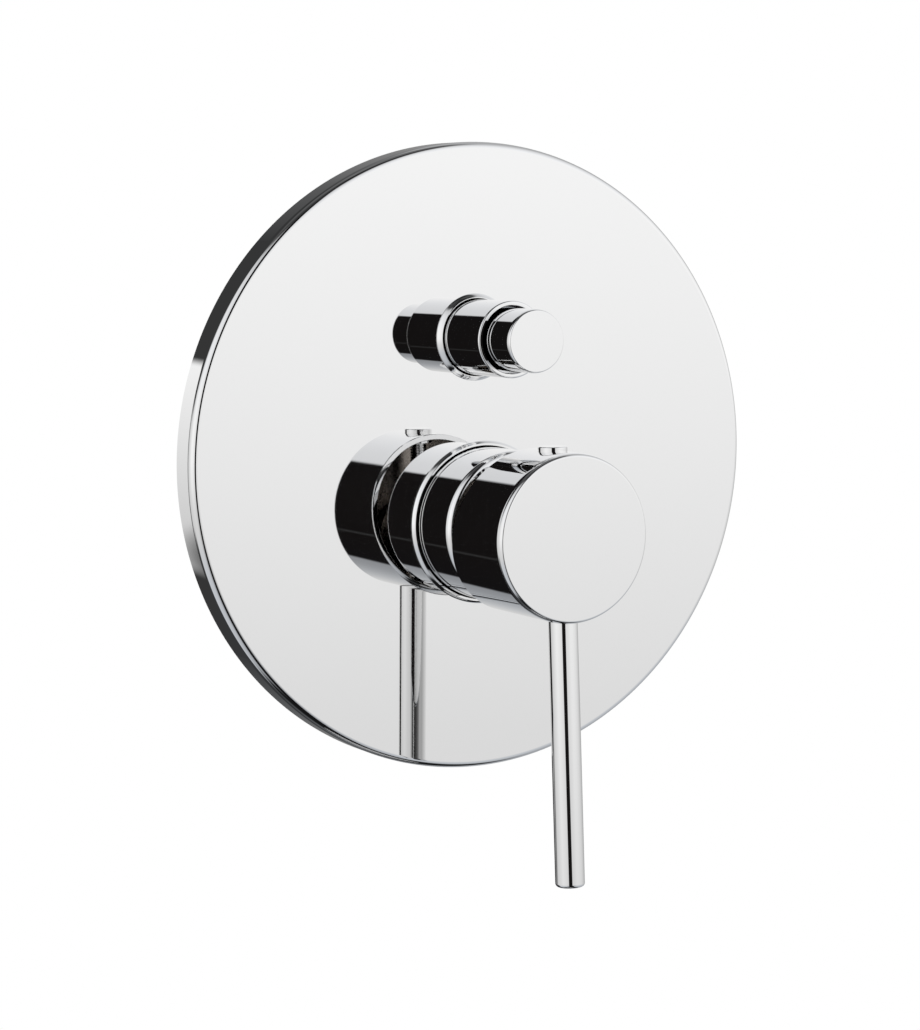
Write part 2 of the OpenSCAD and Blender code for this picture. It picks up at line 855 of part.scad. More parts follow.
wall_plate();
plate_gasket();
sleeve_collar();
sleeve_seal();
cartridge_sleeve();
sleeve_oring();
mixer_body();
cartridge_nut();
cartridge_housing();
cartridge_base();
base_seals();
disc_seals();
fixed_disc();
moving_disc();
disc_carrier();
spindle_rotor();
pivot_pin();
lever_spindle();
handle();
lever_rod();
handle_screw();
diverter_collar();
diverter_seal();
diverter_sleeve();
diverter_button();
diverter_spindle();
spindle_oring();
diverter_bonnet();
bonnet_oring();
diverter_cage();
cage_orings();
front_washer();
rear_washer();
washer_nut();
return_spring();
spring_cap();
spring_clip();
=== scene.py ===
"""Looks of a concealed shower mixer: polished trim, a cast valve body and a plain white studio.

Shapes are worked out in millimetres in the part's face frame: X to the right, Y up, Z out of the
wall, with the finished wall at Z = 0 and the cartridge axis at X = Y = 0. metres() turns them into
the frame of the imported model.
"""

import json
import math

import bmesh
import bpy
import numpy as np
from mathutils import Matrix, Vector


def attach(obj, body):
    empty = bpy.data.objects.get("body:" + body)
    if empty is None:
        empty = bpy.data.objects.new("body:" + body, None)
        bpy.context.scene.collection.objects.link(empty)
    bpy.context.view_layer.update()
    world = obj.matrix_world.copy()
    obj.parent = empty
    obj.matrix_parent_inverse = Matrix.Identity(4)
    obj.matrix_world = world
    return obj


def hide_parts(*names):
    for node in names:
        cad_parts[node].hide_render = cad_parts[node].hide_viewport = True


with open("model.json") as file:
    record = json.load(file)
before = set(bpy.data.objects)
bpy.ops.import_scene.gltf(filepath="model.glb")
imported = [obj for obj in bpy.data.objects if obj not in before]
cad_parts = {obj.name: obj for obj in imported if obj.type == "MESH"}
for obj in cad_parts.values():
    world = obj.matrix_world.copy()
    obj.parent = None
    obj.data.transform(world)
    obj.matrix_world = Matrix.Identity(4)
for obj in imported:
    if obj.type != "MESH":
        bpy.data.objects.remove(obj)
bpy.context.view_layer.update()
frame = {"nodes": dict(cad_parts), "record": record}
nodes = frame["nodes"]

# Sizes of the part, in millimetres and degrees
FIXING_DEPTH = 54.0
PLATE_R = 87.5
PLATE_T = 10.0
PLATE_EDGE_W = 1.9
PLATE_EDGE_H = 2.4
PLATE_SKIN = 2.5
PLATE_RISE = 18.0
SLEEVE_R = 21.25
SLEEVE_FRONT = 27.9
SLEEVE_SKIN = 1.2
SLEEVE_ROUND = 1.15
HANDLE_R = 22.8
HANDLE_REAR = 33.4
HANDLE_FRONT = 59.3
HANDLE_EDGE_W = 1.0
HANDLE_EDGE_H = 2.2
HANDLE_SKIN = 1.6
STEM_LEAN = 12.3
REST_TURN = 2.3
ROD_R = 4.0
ROD_OUT = 51.8
ROD_REACH = 94.5
ROD_LEAN = 2.2
SCREW_OUT = 48.1
SCREW_PROUD = 1.1
DIVERTER_RISE = 51.8
DSLEEVE_R = 10.5
DSLEEVE_FRONT = 30.9
DSLEEVE_SKIN = 1.2
BUTTON_R = 8.6
BUTTON_FRONT = 43.9
COLLAR_LIP = 1.3
COLLAR_STEP = 0.5
COLLAR_GAP = 0.3
COLLAR_LOW = 4.0
COLLAR_SLOPE = (25.0, 50.0)
PIVOT_OUT = 16.0
BOSS_R = 11.0
BOSS_START = 22.0
SHANK = 8.0
CAP_TOP = 16.4
BONNET_TUBE_R = 8.0

# Height of the line that splits the plate's faces between its two holes
SPLIT_Y = 31.0
# Distance of a guard point from its edge, points round a revolved piece, degrees in a radian
GUARD = 0.04
ROUND = 256
DEGREES = 57.29578

# Brightness of the screens by azimuth at eye level, and its change with elevation
SCREENS_ROUND = ((-180, 0.045), (-165, 0.11), (-155, 0.22), (-145, 0.45), (-120, 0.44),
                 (-100, 0.66), (-75, 0.82), (-45, 0.88), (-25, 0.865), (-5, 0.77), (10, 0.72),
                 (42, 0.72), (60, 0.80), (85, 0.87), (110, 0.78), (132, 0.70), (141, 0.5),
                 (150, 0.11), (156, 0.03), (165, 0.02), (180, 0.045))
SCREENS_HEIGHT = ((-90, 0.4), (-60, 0.5), (-45, 0.66), (-30, 0.72), (-12, 0.925), (-6, 1.075),
                  (0, 1.19), (15, 1.19), (30, 1.12), (45, 1.0), (60, 0.7), (90, 0.6))
CEILING_ROUND = ((-180, 0.16), (-120, 0.15), (-60, 0.04), (0, 0.02), (60, 0.045), (180, 0.14))
FLOOR_ROUND = ((-180, 0.2), (-160, 0.1), (-145, 0.012), (80, 0.008), (110, 0.03), (180, 0.15))


# ---------------------------------------------------------------- surfaces


def metres(points):
    """Face frame in millimetres to the model's frame in metres: (x, y, z) -> (x, -z - depth, y)."""
    p = np.asarray(points, float)
    return np.stack([p[:, 0], -p[:, 2] - FIXING_DEPTH, p[:, 1]], 1) * 0.001


def turned(points):
    """Turns points about the cartridge axis by the lever's rest angle, clockwise from the front."""
    a = math.radians(-REST_TURN)
    p = np.asarray(points, float)
    x = p[:, 0] * math.cos(a) - p[:, 1] * math.sin(a)
    y = p[:, 0] * math.sin(a) + p[:, 1] * math.cos(a)
    return np.stack([x, y, p[:, 2]], 1)


def tilted(points, angle, out):
    """Turns points about the X axis by angle degrees, then lifts them out of the wall by out."""
    a = math.radians(angle)
    p = np.asarray(points, float)
    y = p[:, 1] * math.cos(a) - p[:, 2] * math.sin(a)
    z = p[:, 1] * math.sin(a) + p[:, 2] * math.cos(a)
    return np.stack([p[:, 0], y, z + out], 1)


def arc(cx, cy, rx, ry, start, end, steps=12):
    """Points (cx + rx cos a, cy + ry sin a) of an oval, from one angle in degrees to another."""
    a = np.radians(np.linspace(start, end, steps + 1))
    return np.stack([cx + rx * np.cos(a), cy + ry * np.sin(a)], 1)


def guarded(*runs):
    """Joins runs of profile points, with a guard point close to both ends of each long step.

    The guards keep the shading of a flat or straight stretch true right up to its edges.
    """
    p = np.concatenate([np.atleast_2d(np.asarray(r, float)) for r in runs])
    out = [p[0]]
    for a, b in zip(p[:-1], p[1:]):
        length = float(np.hypot(*(b - a)))
        if length > 6 * GUARD:
            out += [a + (b - a) * GUARD / length, b - (b - a) * GUARD / length]
        out.append(b)
    return np.array(out)


def grid_faces(rows, cols, ring=True, closed_rows=False):
    """Quads of a grid of points stored row by row; ring joins the last column to the first."""
    i = np.arange(rows if closed_rows else rows - 1)[:, None]
    j = np.arange(cols if ring else cols - 1)[None, :]
    k = (i + 1) % rows
    m = (j + 1) % cols
    return np.stack([i * cols + j, i * cols + m, k * cols + m, k * cols + j], -1).reshape(-1, 4)


def revolved(profile, cols=ROUND, centre=(0.0, 0.0), closed=False):
    """Surface of revolution about Z: (r, z) goes to (r cos t + cx, r sin t + cy, z)."""
    p = np.asarray(profile, float)
    t = np.linspace(0, 2 * np.pi, cols, endpoint=False)
    r, a = np.meshgrid(p[:, 0], t, indexing="ij")
    z = np.repeat(p[:, 1][:, None], cols, 1)
    v = np.stack([r * np.cos(a) + centre[0], r * np.sin(a) + centre[1], z], -1).reshape(-1, 3)
    return v, grid_faces(len(p), cols, True, closed)


def joined(*parts):
    """One vertex array and one face list from several (vertices, quads) pairs."""
    verts, faces, start = [], [], 0
    for v, f in parts:
        verts.append(np.asarray(v, float))
        faces.append(np.asarray(f) + start)
        start += len(v)
    return np.concatenate(verts), np.concatenate(faces)


def piece(name, verts, faces, body, stands_for, finishes, finish_of=None, sharp=32.0):
    """Makes a piece from face-frame points, rides it on its body and hides the node it stands for.

    finish_of gives the index of the finish of each quad. Faces are welded and turned outwards,
    and only edges sharper than sharp degrees break the shading.
    """
    mesh = bpy.data.meshes.new(name)
    mesh.from_pydata(metres(verts).tolist(), [], faces.tolist())
    if finish_of is not None:
        mesh.polygons.foreach_set("material_index", np.asarray(finish_of, np.int32))
    work = bmesh.new()
    work.from_mesh(mesh)
    bmesh.ops.remove_doubles(work, verts=work.verts, dist=1e-6)
    bmesh.ops.dissolve_degenerate(work, edges=work.edges, dist=1e-7)
    bmesh.ops.recalc_face_normals(work, faces=work.faces)
    work.to_mesh(mesh)
    work.free()
    mesh.polygons.foreach_set("use_smooth", np.ones(len(mesh.polygons), bool))
    mesh.set_sharp_from_angle(angle=math.radians(sharp))
    for finish in finishes:
        mesh.materials.append(finish)
    obj = bpy.data.objects.new(name, mesh)
    bpy.context.scene.collection.objects.link(obj)
    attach(obj, body)
    if stands_for:
        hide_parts(stands_for)
    return obj


# ---------------------------------------------------------------- finishes


class Graph:
    """Small helper that adds nodes to a material or world and links them.

    Every value given to a node is either a number or colour, or another node's output.
    """

    def __init__(self, tree):
        self.tree = tree
        tree.nodes.clear()

    def add(self, kind, inputs=None, **settings):
        node = self.tree.nodes.new(kind)
        for key, value in settings.items():
            setattr(node, key, value)
        for key, value in (inputs or {}).items():
            self.feed(node.inputs[key], value)
        return node

    def feed(self, socket, value):
        if isinstance(value, bpy.types.NodeSocket):
            self.tree.links.new(value, socket)
        else:
            socket.default_value = value

    def math(self, operation, a, b=0.0, c=0.0):
        node = self.add("ShaderNodeMath", {0: a, 1: b, 2: c}, operation=operation)
        return node.outputs[0]

    def band(self, value, low, high, soft_low, soft_high=None):
        """1 between low and high, 0 outside, with smooth edges of the given half widths."""
        rise = self.step(value, low, soft_low)
        fall = self.step(value, high, soft_high or soft_low)
        return self.math("SUBTRACT", rise, fall)

    def step(self, value, edge, soft):
        """0 below the edge and 1 above it, smooth over soft each way; a negative soft turns it."""
        node = self.add("ShaderNodeMapRange", {0: value, 1: edge - soft, 2: edge + soft},
                        interpolation_type="SMOOTHSTEP")
        return node.outputs[0]

    def past(self, value, edge):
        """How far the value lies past the edge, or 0."""
        return self.math("MAXIMUM", self.math("SUBTRACT", value, edge), 0.0)

    def ramp(self, value, low, high, stops):
        """Tones at the stops (value, tone), with straight steps between them."""
        share = self.add("ShaderNodeMapRange", {0: value, 1: float(low), 2: float(high)})
        node = self.add("ShaderNodeValToRGB", {0: share.outputs[0]})
        marks = node.color_ramp.elements
        while len(marks) < len(stops):
            marks.new(0.5)
        for mark, (at, tone) in zip(marks, stops):
            mark.position = (at - low) / (high - low)
            mark.color = (*(tone if isinstance(tone, tuple) else (tone,) * 3), 1.0)
        return node.outputs[0]

    def mix(self, factor, a, b):
        """Colour a where the factor is 0, b where it is 1."""
        node = self.add("ShaderNodeMix", data_type="RGBA")
        self.feed(node.inputs[0], factor)
        self.feed(node.inputs[6], a)
        self.feed(node.inputs[7], b)
        return node.outputs[2]


def new_material(name):
    material = bpy.data.materials.new(name)
    material.use_nodes = True
    return material, Graph(material.node_tree)


def polished_chrome(name, tint, wave, seed):
    """Bright nickel-chrome: near-mirror, with the faint waviness and haze that polishing leaves."""
    material, g = new_material(name)
    place = g.add("ShaderNodeTexCoord").outputs["Object"]
    spot = g.add("ShaderNodeMapping", {"Vector": place, "Location": (seed, seed * 0.7, -seed)})
    haze = g.add("ShaderNodeTexNoise", {"Vector": spot.outputs[0], "Scale": 55.0, "Detail": 4.0})
    rough = g.add("ShaderNodeMapRange", {0: haze.outputs[0], 1: 0.3, 2: 0.7, 3: 0.012, 4: 0.03})
    swell = g.add("ShaderNodeTexNoise", {"Vector": spot.outputs[0], "Scale": 90.0, "Detail": 1.0})
    bump = g.add("ShaderNodeBump", {"Height": swell.outputs[0], "Strength": 1.0, "Distance": wave})
    shade = g.add("ShaderNodeBsdfPrincipled", {
        "Base Color": (*tint, 1.0), "Metallic": 1.0, "Roughness": rough.outputs[0],
        "Normal": bump.outputs[0]})
    g.add("ShaderNodeOutputMaterial", {"Surface": shade.outputs[0]})
    return material


def plain_finish(name, colour, rough, metallic=0.0, grain=400.0, depth=2e-5, shift=0.12):
    """Moulded or machined surface: its colour, roughness and height all vary with fine noise."""
    material, g = new_material(name)
    place = g.add("ShaderNodeTexCoord").outputs["Object"]
    fine = g.add("ShaderNodeTexNoise", {"Vector": place, "Scale": grain, "Detail": 5.0})
    broad = g.add("ShaderNodeTexNoise", {"Vector": place, "Scale": 60.0, "Detail": 3.0})
    dark = tuple(c * (1 - shift) for c in colour)
    light = tuple(min(1.0, c * (1 + shift)) for c in colour)
    tone = g.mix(broad.outputs[0], (*dark, 1.0), (*light, 1.0))
    roughness = g.add("ShaderNodeMapRange", {0: fine.outputs[0], 3: rough * 0.8, 4: rough * 1.2})
    bump = g.add("ShaderNodeBump", {"Height": fine.outputs[0], "Strength": 1.0, "Distance": depth})
    shade = g.add("ShaderNodeBsdfPrincipled", {
        "Base Color": tone, "Metallic": metallic, "Roughness": roughness.outputs[0],
        "Normal": bump.outputs[0]})
    g.add("ShaderNodeOutputMaterial", {"Surface": shade.outputs[0]})
    return material


CHROME_TINT = (0.87, 0.87, 0.87)
plate_chrome = polished_chrome("plate_chrome", CHROME_TINT, 1.0e-6, 0.3)
trim_chrome = polished_chrome("trim_chrome", CHROME_TINT, 2.0e-6, 1.1)
handle_chrome = polished_chrome("handle_chrome", CHROME_TINT, 2.0e-6, 2.4)
bare_cup = plain_finish("bare_cup", (0.33, 0.295, 0.265), 0.27, 1.0)
cast_brass = plain_finish("cast_brass", (0.60, 0.46, 0.26), 0.48, 0.9, 900.0, 8e-5, 0.2)
turned_brass = plain_finish("turned_brass", (0.72, 0.56, 0.30), 0.25, 1.0, 500.0, 1e-5)
foam_rubber = plain_finish("foam_rubber", (0.035, 0.035, 0.036), 0.85, 0.0, 1600.0, 1.2e-4, 0.3)
black_rubber = plain_finish("black_rubber", (0.02, 0.02, 0.021), 0.5, 0.0, 700.0, 2e-5, 0.2)
white_plastic = plain_finish("white_plastic", (0.82, 0.82, 0.80), 0.42, 0.0, 500.0, 1e-5, 0.04)
grey_plastic = plain_finish("grey_plastic", (0.16, 0.17, 0.19), 0.42, 0.0, 500.0, 1e-5, 0.1)
disc_ceramic = plain_finish("disc_ceramic", (0.80, 0.77, 0.70), 0.2, 0.0, 800.0, 4e-6, 0.03)
bright_steel = plain_finish("bright_steel", (0.56, 0.565, 0.58), 0.3, 1.0, 700.0, 1e-5)

NODE_FINISHES = {
    "cast_brass": cast_brass, "turned_brass": turned_brass, "foam_rubber": foam_rubber,
    "black_rubber": black_rubber, "white_plastic": white_plastic, "grey_plastic": grey_plastic,
    "disc_ceramic": disc_ceramic, "bright_steel": bright_steel, "plate_chrome": plate_chrome,
    "trim_chrome": trim_chrome, "handle_chrome": handle_chrome,
}
for entry in frame["record"]["subparts"]:
    node_mesh = nodes[entry["node"]].data
    node_mesh.materials.clear()
    node_mesh.materials.append(NODE_FINISHES[entry["material_slot"]])


# ---------------------------------------------------------------- plate


def split_rim(radius, cut_y, keep_above, cols=ROUND, line_steps=48):
    """Boundary of the part of a disc above or below the line y = cut_y, as closed (x, y) points.

    The disc's own points are those of the plate's rim, so faces and rim share them. The line runs
    between the last rim point above cut_y on the left and on the right.
    """
    t = np.linspace(0, 2 * np.pi, cols, endpoint=False)
    x, y = radius * np.cos(t), radius * np.sin(t) + PLATE_RISE
    above = y > cut_y
    start = int(np.nonzero(above & ~np.roll(above, 1))[0][0])
    order = (np.arange(cols) + start) % cols
    count = int(above.sum())
    upper = order[:count]
    lower = order[count:]
    right, left = upper[0], upper[-1]
    f = np.linspace(0, 1, line_steps + 1)[1:-1]
    line = np.stack([x[left] + (x[right] - x[left]) * f, y[left] + (y[right] - y[left]) * f], 1)
    rim_upper = np.stack([x[upper], y[upper]], 1)
    if keep_above:
        return np.concatenate([rim_upper, line])
    rim_lower = np.stack([x[lower], y[lower]], 1)
    ends = np.stack([x[[left, right]], y[[left, right]]], 1)
    return np.concatenate([ends[:1], rim_lower, ends[1:], line[::-1]])


def ring_between(outer, inner, z_outer, z_inner):
    """Quads between two closed outlines with the same number of points."""
    n = len(outer)
    v = np.concatenate([np.column_stack([outer, np.full(n, z_outer)]),
                        np.column_stack([inner, np.full(n, z_inner)])])
    return v, grid_faces(2, n)


def wall_plate():
    """Pressed round plate: rim and back from a revolved profile, front and back faces ruled."""
    inner_r = PLATE_R - PLATE_SKIN
    back = PLATE_T - PLATE_SKIN
    corner = 0.3
    edge = arc(PLATE_R - PLATE_EDGE_W, PLATE_T - PLATE_EDGE_H, PLATE_EDGE_W, PLATE_EDGE_H,
               0, 90, 24)
    profile = guarded([[inner_r, back], [inner_r, corner], [inner_r + corner, 0],
                       [PLATE_R - corner, 0], [PLATE_R, corner]], edge)
    flat_r = PLATE_R - PLATE_EDGE_W - GUARD
    profile = np.concatenate([profile, [[flat_r, PLATE_T]]])
    parts = [revolved(profile, centre=(0.0, PLATE_RISE))]
    lip = COLLAR_GAP + COLLAR_LIP - COLLAR_STEP
    halves = ((False, 0.0, SLEEVE_R + lip), (True, DIVERTER_RISE, DSLEEVE_R + lip))
    for above, hole_y, hole_r in halves:
        holes = []
        for radius, z in ((flat_r, PLATE_T), (inner_r, back)):
            rim = split_rim(radius, SPLIT_Y, above)
            a = np.arctan2(rim[:, 1] - hole_y, rim[:, 0])
            hole = np.stack([hole_r * np.cos(a), hole_y + hole_r * np.sin(a)], 1)
            parts.append(ring_between(rim, hole, z, z))
            holes.append((hole, z))
        parts.append(ring_between(holes[0][0], holes[1][0], holes[0][1], holes[1][1]))
    v, f = joined(*parts)
    return piece("plate", v, f, "valve", "wall_plate", [plate_chrome])


def collar(name, inner_r, centre_y, node, crown_r, rim_h):
    """Guide ring, revolved: a crowned, sloping flange on the plate and a spigot through its hole.

    The flange's slope is an arc of radius crown_r on top of an upright rim of height rim_h; it
    starts and ends at the two angles of COLLAR_SLOPE.
    """
    low, high = COLLAR_SLOPE
    corner = 0.1
    flange_r = inner_r + COLLAR_LIP
    spigot_r = flange_r - COLLAR_STEP
    start = math.radians(low)
    slope = arc(flange_r - crown_r * math.cos(start), PLATE_T + rim_h - crown_r * math.sin(start),
                crown_r, crown_r, low, high, 12)
    top = slope[-1, 1]
    profile = guarded([[inner_r, COLLAR_LOW], [spigot_r, COLLAR_LOW], [spigot_r, PLATE_T],
                       [flange_r, PLATE_T]], slope,
                      [[inner_r + corner, top], [inner_r, top - corner], [inner_r, COLLAR_LOW]])
    v, f = revolved(profile, centre=(0.0, centre_y))
    return piece(name, v, f, "valve", node, [trim_chrome])


def cartridge_sleeve():
    """Tube over the cartridge, revolved, whose front rounds over into a shallow cone.

    The cone is tangent to the rounded edge and rises by cone degrees to the opening.
    """
    bore = SLEEVE_R - SLEEVE_SKIN
    rear = 1.0
    front_t = 1.6
    opening_r = 15.8
    corner = 0.2
    edge_r = 2.0
    cone = 18.0
    edge = arc(SLEEVE_R - edge_r, SLEEVE_FRONT - SLEEVE_ROUND, edge_r, edge_r, 0, 90 - cone, 20)
    lip = edge[-1, 1] + (edge[-1, 0] - opening_r - corner) * math.tan(math.radians(cone))
    profile = guarded([[bore, rear], [SLEEVE_R, rear]], edge,
                      [[opening_r + corner, lip], [opening_r, lip - corner],
                       [opening_r, SLEEVE_FRONT - front_t], [bore, SLEEVE_FRONT - front_t],
                       [bore, rear]])
    v, f = revolved(profile)
    return piece("sleeve", v, f, "valve", "cartridge_sleeve", [trim_chrome])


def diverter_sleeve():
    """Tube round the pull button, revolved, with a stepped bore for the bonnet's tube."""
    edge_r = 0.5
    corner = 0.12
    rear = 5.0
    web = CAP_TOP + 0.2
    bore = DSLEEVE_R - DSLEEVE_SKIN
    neck_r = BONNET_TUBE_R + 0.05
    profile = guarded([[neck_r, rear], [DSLEEVE_R, rear]],
                      arc(DSLEEVE_R - edge_r, DSLEEVE_FRONT - edge_r, edge_r, edge_r, 0, 90, 14),
                      [[bore + corner, DSLEEVE_FRONT], [bore, DSLEEVE_FRONT - corner],
                       [bore, web], [neck_r, web], [neck_r, rear]])
    v, f = revolved(profile, centre=(0.0, DIVERTER_RISE))
    return piece("button_sleeve", v, f, "valve", "diverter_sleeve", [trim_chrome])


def diverter_button():
    """Solid button with a rounded front edge, revolved, closed at the back round its spindle."""
    edge_w = 0.5
    edge_h = 1.5
    corner = 0.3
    rear = CAP_TOP + 3.0
    profile = guarded([[0, rear], [BUTTON_R - corner, rear], [BUTTON_R, rear + corner]],
                      arc(BUTTON_R - edge_w, BUTTON_FRONT - edge_h, edge_w, edge_h, 0, 90, 20),
                      [[0, BUTTON_FRONT]])
    v, f = revolved(profile, centre=(0.0, DIVERTER_RISE))
    return piece("button", v, f, "button", "diverter_button", [trim_chrome])


# ---------------------------------------------------------------- handle


def handle():
    """Turned cup: a revolved profile whose rear rim is sheared to the plane z = rear + y tan(lean).

    The rim ring moves with y, the fillet and the front stay flat, and the inner wall ends on the
    floor of the cup. The boss inside is a cylinder round the spindle, with a square socket.
    """
    cup_r = HANDLE_R - HANDLE_SKIN
    front_wall = 4.0
    floor = HANDLE_FRONT - front_wall
    slope = math.tan(math.radians(STEM_LEAN))
    chamfer = 0.15
    rim = [[cup_r, chamfer], [cup_r + chamfer, 0], [HANDLE_R - chamfer, 0], [HANDLE_R, chamfer]]
    edge = arc(HANDLE_R - HANDLE_EDGE_W, HANDLE_FRONT - HANDLE_EDGE_H,
               HANDLE_EDGE_W, HANDLE_EDGE_H, 0, 90, 24)
    inner = [[0, floor], [cup_r - GUARD, floor], [cup_r, floor], [cup_r, floor - GUARD]]
    front = [[HANDLE_R - HANDLE_EDGE_W - GUARD, HANDLE_FRONT], [0, HANDLE_FRONT]]
    lead = [[HANDLE_R, HANDLE_FRONT - HANDLE_EDGE_H - GUARD]]
    profile = np.array(inner + rim + lead + edge.tolist() + front)
    sheared = np.zeros(len(profile))
    sheared[len(inner):len(inner) + len(rim)] = 1.0
    v, f = revolved(profile)
    v = v.reshape(len(profile), ROUND, 3)
    rear = HANDLE_REAR + v[:, :, 1] * slope
    v[:, :, 2] += rear * sheared[:, None]
    shell = v.reshape(-1, 3)
    row = np.repeat(np.arange(len(profile) - 1), ROUND)
    bare = (row < len(inner)).astype(int)
    boss_v, boss_f = boss(floor)
    verts, faces = joined((shell, f), (boss_v, boss_f))
    finish = np.concatenate([bare, np.ones(len(boss_f), int)])
    return piece("handle_cup", turned(verts), faces, "lever", "handle",
                 [handle_chrome, bare_cup], finish)


def boss(floor):
    """Cylinder round the leaning spindle with a square socket, its end inside the front wall.

    The socket's radius is side / max(|cos t|, |sin t|), a square of half width side.
    """
    cols = 96
    socket_end = 34.0
    boss_end = 36.0
    corner = 0.3
    t = np.linspace(0, 2 * np.pi, cols, endpoint=False)
    side = (SHANK + 0.1) / 2
    square_r = side / np.maximum(np.abs(np.cos(t)), np.abs(np.sin(t)))
    full_r = np.full(cols, BOSS_R)
    rows = [(square_r, socket_end), (square_r, BOSS_START), (full_r - corner, BOSS_START),
            (full_r, BOSS_START + corner), (full_r, boss_end)]
    v = np.concatenate([np.stack([r * np.cos(t), r * np.sin(t), np.full(cols, z)], 1)
                        for r, z in rows])
    v = tilted(v, STEM_LEAN, PIVOT_OUT)
    v[:, 2] = np.minimum(v[:, 2], floor + 1.0)
    return v, grid_faces(len(rows), cols)


def lever_rod():
    """Straight rod with a thinner threaded end, revolved about its own leaning axis."""
    end_r = 1.0
    shoulder = 18.0
    thread_r = 3.0
    tip = 12.4
    profile = guarded([[0, tip], [thread_r, tip], [thread_r, shoulder], [ROD_R, shoulder]],
                      arc(ROD_R - end_r, ROD_REACH - end_r, end_r, end_r, 0, 90, 14),
                      [[0, ROD_REACH]])
    v, f = revolved(profile, cols=128)
    v = turned(tilted(v, 90 - ROD_LEAN, ROD_OUT))
    return piece("rod", v, f, "lever", "lever_rod", [handle_chrome])


def handle_screw():
    """Cylindrical head on the handle, and its threaded shank below it.

    The thread's radius is R - depth |2 frac(s / pitch - t / 2 pi) - 1|, a ridge along a helix.
    """
    head_low = HANDLE_R - 3.0
    head_top = HANDLE_R + SCREW_PROUD
    edge_r = 0.35
    under_r = 2.0
    profile = guarded([[under_r, head_low], [ROD_R, head_low]],
                      arc(ROD_R - edge_r, head_top - edge_r, edge_r, edge_r, 0, 90, 10),
                      [[0, head_top]])
    head = revolved(profile, cols=128)
    pitch = 0.8
    thread_r = 2.5
    thread_depth = 0.42
    tip = -2.6
    cols = 48
    s = np.linspace(tip, head_low + 0.2, 200)
    t = np.linspace(0, 2 * np.pi, cols, endpoint=False)
    turn = s[:, None] / pitch - t[None, :] / (2 * np.pi)
    r = thread_r - thread_depth * np.abs(2 * (turn - np.floor(turn)) - 1)
    shank = np.stack([r * np.cos(t), r * np.sin(t), np.repeat(s[:, None], cols, 1)], -1)
    shank_v = np.concatenate([np.repeat([[0.0, 0.0, s[0]]], cols, 0), shank.reshape(-1, 3)])
    shank_f = grid_faces(len(s) + 1, cols)
    v, f = joined(head, (shank_v, shank_f))
    v = turned(tilted(v, -90, SCREW_OUT))
    return piece("screw", v, f, "lever", "handle_screw", [handle_chrome])


wall_plate()
collar("collar_lower", SLEEVE_R + COLLAR_GAP, 0.0, "sleeve_collar", 2.7, 0.3)
collar("collar_upper", DSLEEVE_R + COLLAR_GAP, DIVERTER_RISE, "diverter_collar", 4.0, 0.15)
cartridge_sleeve()
diverter_sleeve()
diverter_button()
handle()
lever_rod()
handle_screw()


# ---------------------------------------------------------------- studio


def floor():
    """Round pale floor below the mixer, the circle (r cos t, r sin t - forward, -height)."""
    cols = 96
    radius, forward, height = 0.25, 0.1, 1.2
    t = np.linspace(0, 2 * np.pi, cols, endpoint=False)
    verts = [(radius * math.cos(a), radius * math.sin(a) - forward, -height) for a in t]
    mesh = bpy.data.meshes.new("floor")
    mesh.from_pydata(verts, [], [list(range(cols))])
    obj = bpy.data.objects.new("floor", mesh)
    bpy.context.scene.collection.objects.link(obj)
    floor_paint = plain_finish("floor_paint", (0.85, 0.85, 0.85), 0.6, 0.0, 40.0, 1e-5, 0.01)
    mesh.materials.append(floor_paint)


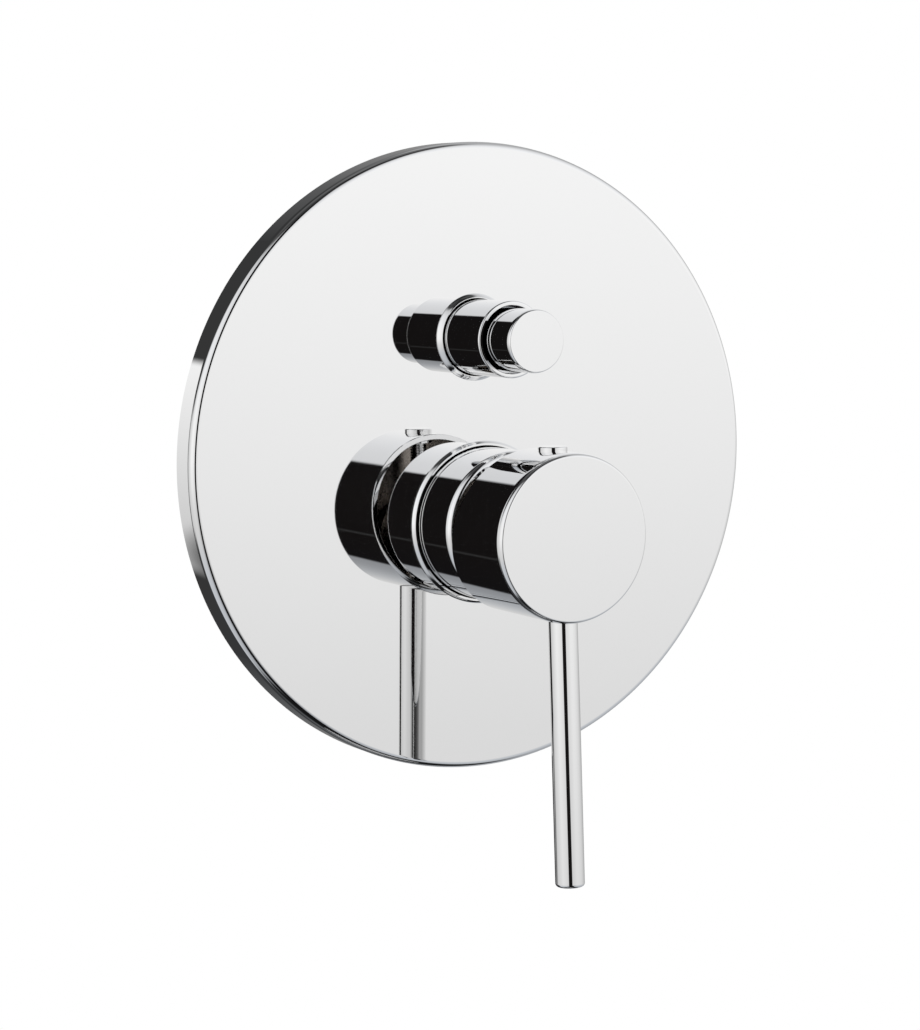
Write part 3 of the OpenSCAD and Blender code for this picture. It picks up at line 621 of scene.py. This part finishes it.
def studio():
    """White screens round the object, told apart by direction, and plain white for the camera.

    Azimuth is 0 straight in front of the wall and positive towards the camera; elevation is up.
    Between two screens is the dark gap that the camera looks through. Behind the wall one white
    screen stands on the camera's side, and the rest fades into the dark.
    """
    world = bpy.data.worlds.new("studio")
    bpy.context.scene.world = world
    world.use_nodes = True
    g = Graph(world.node_tree)
    way = g.add("ShaderNodeTexCoord").outputs["Generated"]
    x, y, z = g.add("ShaderNodeSeparateXYZ", {0: way}).outputs
    away = g.math("ARCTAN2", g.math("MULTIPLY", x, -1.0), g.math("MULTIPLY", y, -1.0))
    azimuth = g.math("MULTIPLY", away, DEGREES)
    elevation = g.math("MULTIPLY", g.math("ARCSINE", z), DEGREES)
    side = g.math("ABSOLUTE", azimuth)

    # Screens round the object at eye level, and how they brighten and fade with height
    level = g.ramp(azimuth, -180, 180, SCREENS_ROUND)
    rise = g.ramp(elevation, -90, 90, SCREENS_HEIGHT)
    front = g.math("MULTIPLY", level, rise)
    tone = g.mix(g.step(side, 115.0, 25.0), front, level)
    # The screen on the camera's side ends there, but for a low strip that runs on behind the wall
    lean = g.math("MULTIPLY", g.past(elevation, 12.0), 0.5)
    beyond = g.step(g.math("ADD", azimuth, lean), 126.0, 7.0)
    strip = g.math("SUBTRACT", 1.0, g.band(elevation, -17.0, 10.0, 3.0))
    tone = g.mix(g.math("MULTIPLY", beyond, strip), tone, (0.04, 0.04, 0.04, 1.0))
    # Screen behind the wall, cut off slantwise below
    low_edge = g.math("MULTIPLY_ADD", azimuth, -1.2, 178.0)
    window = g.math("MULTIPLY", g.band(azimuth, 153.5, 164.0, 1.0), g.step(elevation, 13.0, -0.7))
    above = g.math("SUBTRACT", elevation, low_edge)
    window = g.math("MULTIPLY", window, g.step(above, 0.0, 1.0))
    window_tone = g.math("MULTIPLY_ADD", elevation, 0.012, 0.84)
    tone = g.mix(window, tone, window_tone)
    # Gap between the screens: it widens towards its top and its foot
    top = g.math("MULTIPLY", g.past(elevation, 6.0), 0.16)
    foot = g.math("MULTIPLY", g.past(-10.0, elevation), 0.5)
    near_edge = g.math("SUBTRACT", 12.5, g.math("ADD", top, foot))
    right_of = g.step(g.math("SUBTRACT", azimuth, near_edge), 0.0, 1.2)
    left_of = g.step(azimuth, 39.5, -1.2)
    gap = g.math("MULTIPLY", right_of, left_of)
    # Soft shade along the lower half of both its edges
    shade_right = g.step(azimuth, -11.0, 15.0)
    shade_left = g.step(azimuth, 51.0, -12.0)
    shade = g.math("MULTIPLY", g.math("MULTIPLY", shade_right, shade_left),
                   g.step(elevation, -16.0, -6.0))
    tone = g.mix(g.math("MULTIPLY", shade, 0.4), tone, (0.0, 0.0, 0.0, 1.0))
    tone = g.mix(gap, tone, (0.0085, 0.0075, 0.0075, 1.0))
    # Faint level line across the gap, where the ground begins
    seam = g.math("MULTIPLY", g.band(elevation, -16.6, -15.4, 0.4), gap)
    tone = g.mix(seam, tone, (0.03, 0.03, 0.03, 1.0))
    # Dark ceiling and dark floor beyond the screens
    tone = g.mix(g.step(elevation, 61.0, 5.0), tone, g.ramp(azimuth, -180, 180, CEILING_ROUND))
    tone = g.mix(g.step(elevation, -59.0, -5.0), tone, g.ramp(azimuth, -180, 180, FLOOR_ROUND))
    # Slightly cooler below eye level and high up
    cool = g.ramp(elevation, -90, 90, ((-30, (0.96, 1.0, 1.06)), (-18, (1.0, 1.0, 1.0)),
                                       (10, (1.0, 1.0, 1.0)), (26, (0.99, 1.0, 1.02))))
    tone = g.add("ShaderNodeVectorMath", {0: tone, 1: cool}, operation="MULTIPLY").outputs[0]
    seen = g.add("ShaderNodeLightPath").outputs["Is Camera Ray"]
    colour = g.mix(seen, tone, (1.0, 1.0, 1.0, 1.0))
    light = g.add("ShaderNodeBackground", {"Color": colour, "Strength": 1.0})
    g.add("ShaderNodeOutputWorld", {"Surface": light.outputs[0]})


def camera():
    """Camera 773 mm from the mixer, 28.7 degrees to its left, 7.4 degrees above, tilted 2.7.

    The focal length is in pixels of a frame that is frame_h pixels high.
    """
    distance, focal, frame_h, sensor = 0.77285, 2735.0, 1030.0, 36.0
    az, el, roll = math.radians(28.65), math.radians(7.421), math.radians(-2.699)
    target = Vector((-0.00189, -FIXING_DEPTH * 0.001, 0.001245))
    out = Vector((-math.sin(az) * math.cos(el), -math.cos(az) * math.cos(el), math.sin(el)))
    right = (-out).cross(Vector((0, 0, 1))).normalized()
    up = right.cross(-out)
    right_r = right * math.cos(roll) + up * math.sin(roll)
    up_r = up * math.cos(roll) - right * math.sin(roll)
    data = bpy.data.cameras.new("camera")
    obj = bpy.data.objects.new("camera", data)
    bpy.context.scene.collection.objects.link(obj)
    turn = Matrix((right_r, up_r, out)).transposed()
    obj.matrix_world = Matrix.Translation(target + out * distance) @ turn.to_4x4()
    data.sensor_width = sensor
    data.sensor_fit = "AUTO"
    data.lens = sensor * focal / frame_h
    bpy.context.scene.camera = obj


floor()
studio()
camera()
bpy.context.scene.view_settings.view_transform = "Standard"
